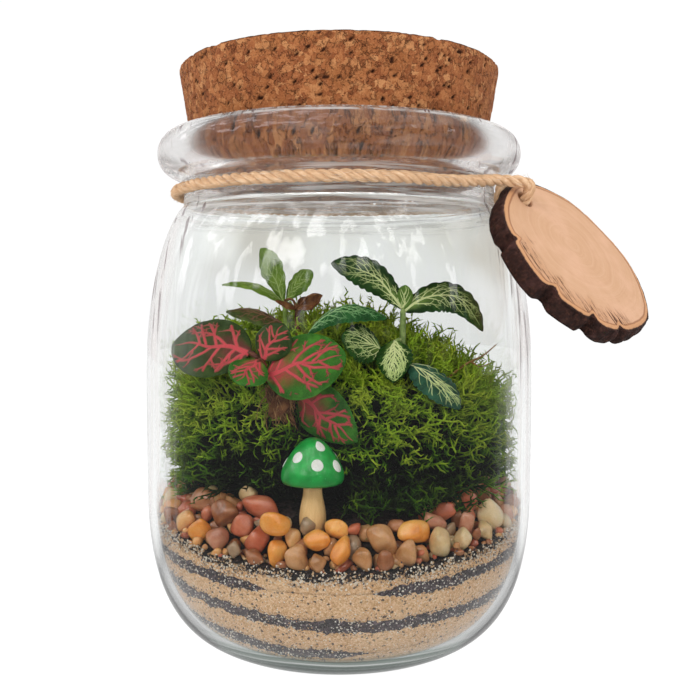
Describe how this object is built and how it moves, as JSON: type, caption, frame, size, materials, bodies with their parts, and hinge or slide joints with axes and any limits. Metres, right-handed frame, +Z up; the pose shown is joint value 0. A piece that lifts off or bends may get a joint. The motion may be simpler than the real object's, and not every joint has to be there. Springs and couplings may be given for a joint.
{
  "type": "glass plant terrarium",
  "caption": "Corked glass jar terrarium with layers of sand and grit, soil, pebbles, a moss mound, nerve plants and a toy mushroom, and a wood slice tag on twine.",
  "frame": {"origin": "centre of the jar's flat foot, on the surface it stands on", "axes": "+Z up along the jar's axis; the planting's front looks along -Y; the tag hangs on the +X side"},
  "size_m": [0.1432, 0.115, 0.1676],
  "materials": {
    "glass": "clear, smooth",
    "cork": "pressed cork granules, matt",
    "wood": "sanded cut face with bark round the edge",
    "jute": "twisted jute fibres",
    "sand": "fine dry sand",
    "grit": "dark coarse grit",
    "soil": "dark crumbly soil",
    "moss": "living moss, branching strands",
    "red_leaf": "green leaf with red veins, satin",
    "white_leaf": "green leaf with white veins, satin",
    "shoot": "light green leaf, satin",
    "dried": "dry brown stem",
    "cap": "glossy green with white spots",
    "stalk": "cream, satin",
    "pebble_orange": "polished",
    "pebble_pale_orange": "polished",
    "pebble_red": "polished",
    "pebble_brown": "polished",
    "pebble_tan": "polished",
    "pebble_pink": "polished",
    "pebble_cream": "polished",
    "pebble_grey": "polished"
  },
  "bodies": {
    "root": {"arched_leaf": "white_leaf", "cork_stopper": "cork", "dried_sprig": "dried", "green_shoot": "shoot", "grit_1": "grit", "grit_2": "grit", "grit_3": "grit", "jar": "glass", "moss_mound": "moss", "mushroom_cap": "cap", "mushroom_stalk": "stalk", "pebble_01": "pebble_brown", "pebble_02": "pebble_pale_orange", "pebble_03": "pebble_pale_orange", "pebble_04": "pebble_orange", "pebble_05": "pebble_pink", "pebble_06": "pebble_grey", "pebble_07": "pebble_red", "pebble_08": "pebble_brown", "pebble_09": "pebble_orange", "pebble_10": "pebble_tan", "pebble_11": "pebble_tan", "pebble_12": "pebble_orange", "pebble_13": "pebble_tan", "pebble_14": "pebble_brown", "pebble_15": "pebble_tan", "pebble_16": "pebble_cream", "pebble_17": "pebble_cream", "pebble_18": "pebble_pink", "pebble_19": "pebble_cream", "pebble_20": "pebble_cream", "pebble_21": "pebble_pink", "pebble_22": "pebble_brown", "pebble_23": "pebble_brown", "pebble_24": "pebble_brown", "pebble_25": "pebble_red", "pebble_26": "pebble_red", "pebble_27": "pebble_grey", "pebble_28": "pebble_orange", "pebble_29": "pebble_orange", "pebble_30": "pebble_pale_orange", "pebble_31": "pebble_orange", "pebble_32": "pebble_tan", "pebble_33": "pebble_orange", "pebble_34": "pebble_pink", "pebble_35": "pebble_grey", "pebble_36": "pebble_red", "pebble_37": "pebble_red", "pebble_38": "pebble_brown", "pebble_39": "pebble_tan", "pebble_40": "pebble_pink", "red_nerve_plant": "red_leaf", "sand_1": "sand", "sand_2": "sand", "sand_3": "sand", "sand_4": "sand", "soil": "soil", "twine": "jute", "white_nerve_plant": "white_leaf", "wood_tag": "wood"}
  },
  "joints": []
}
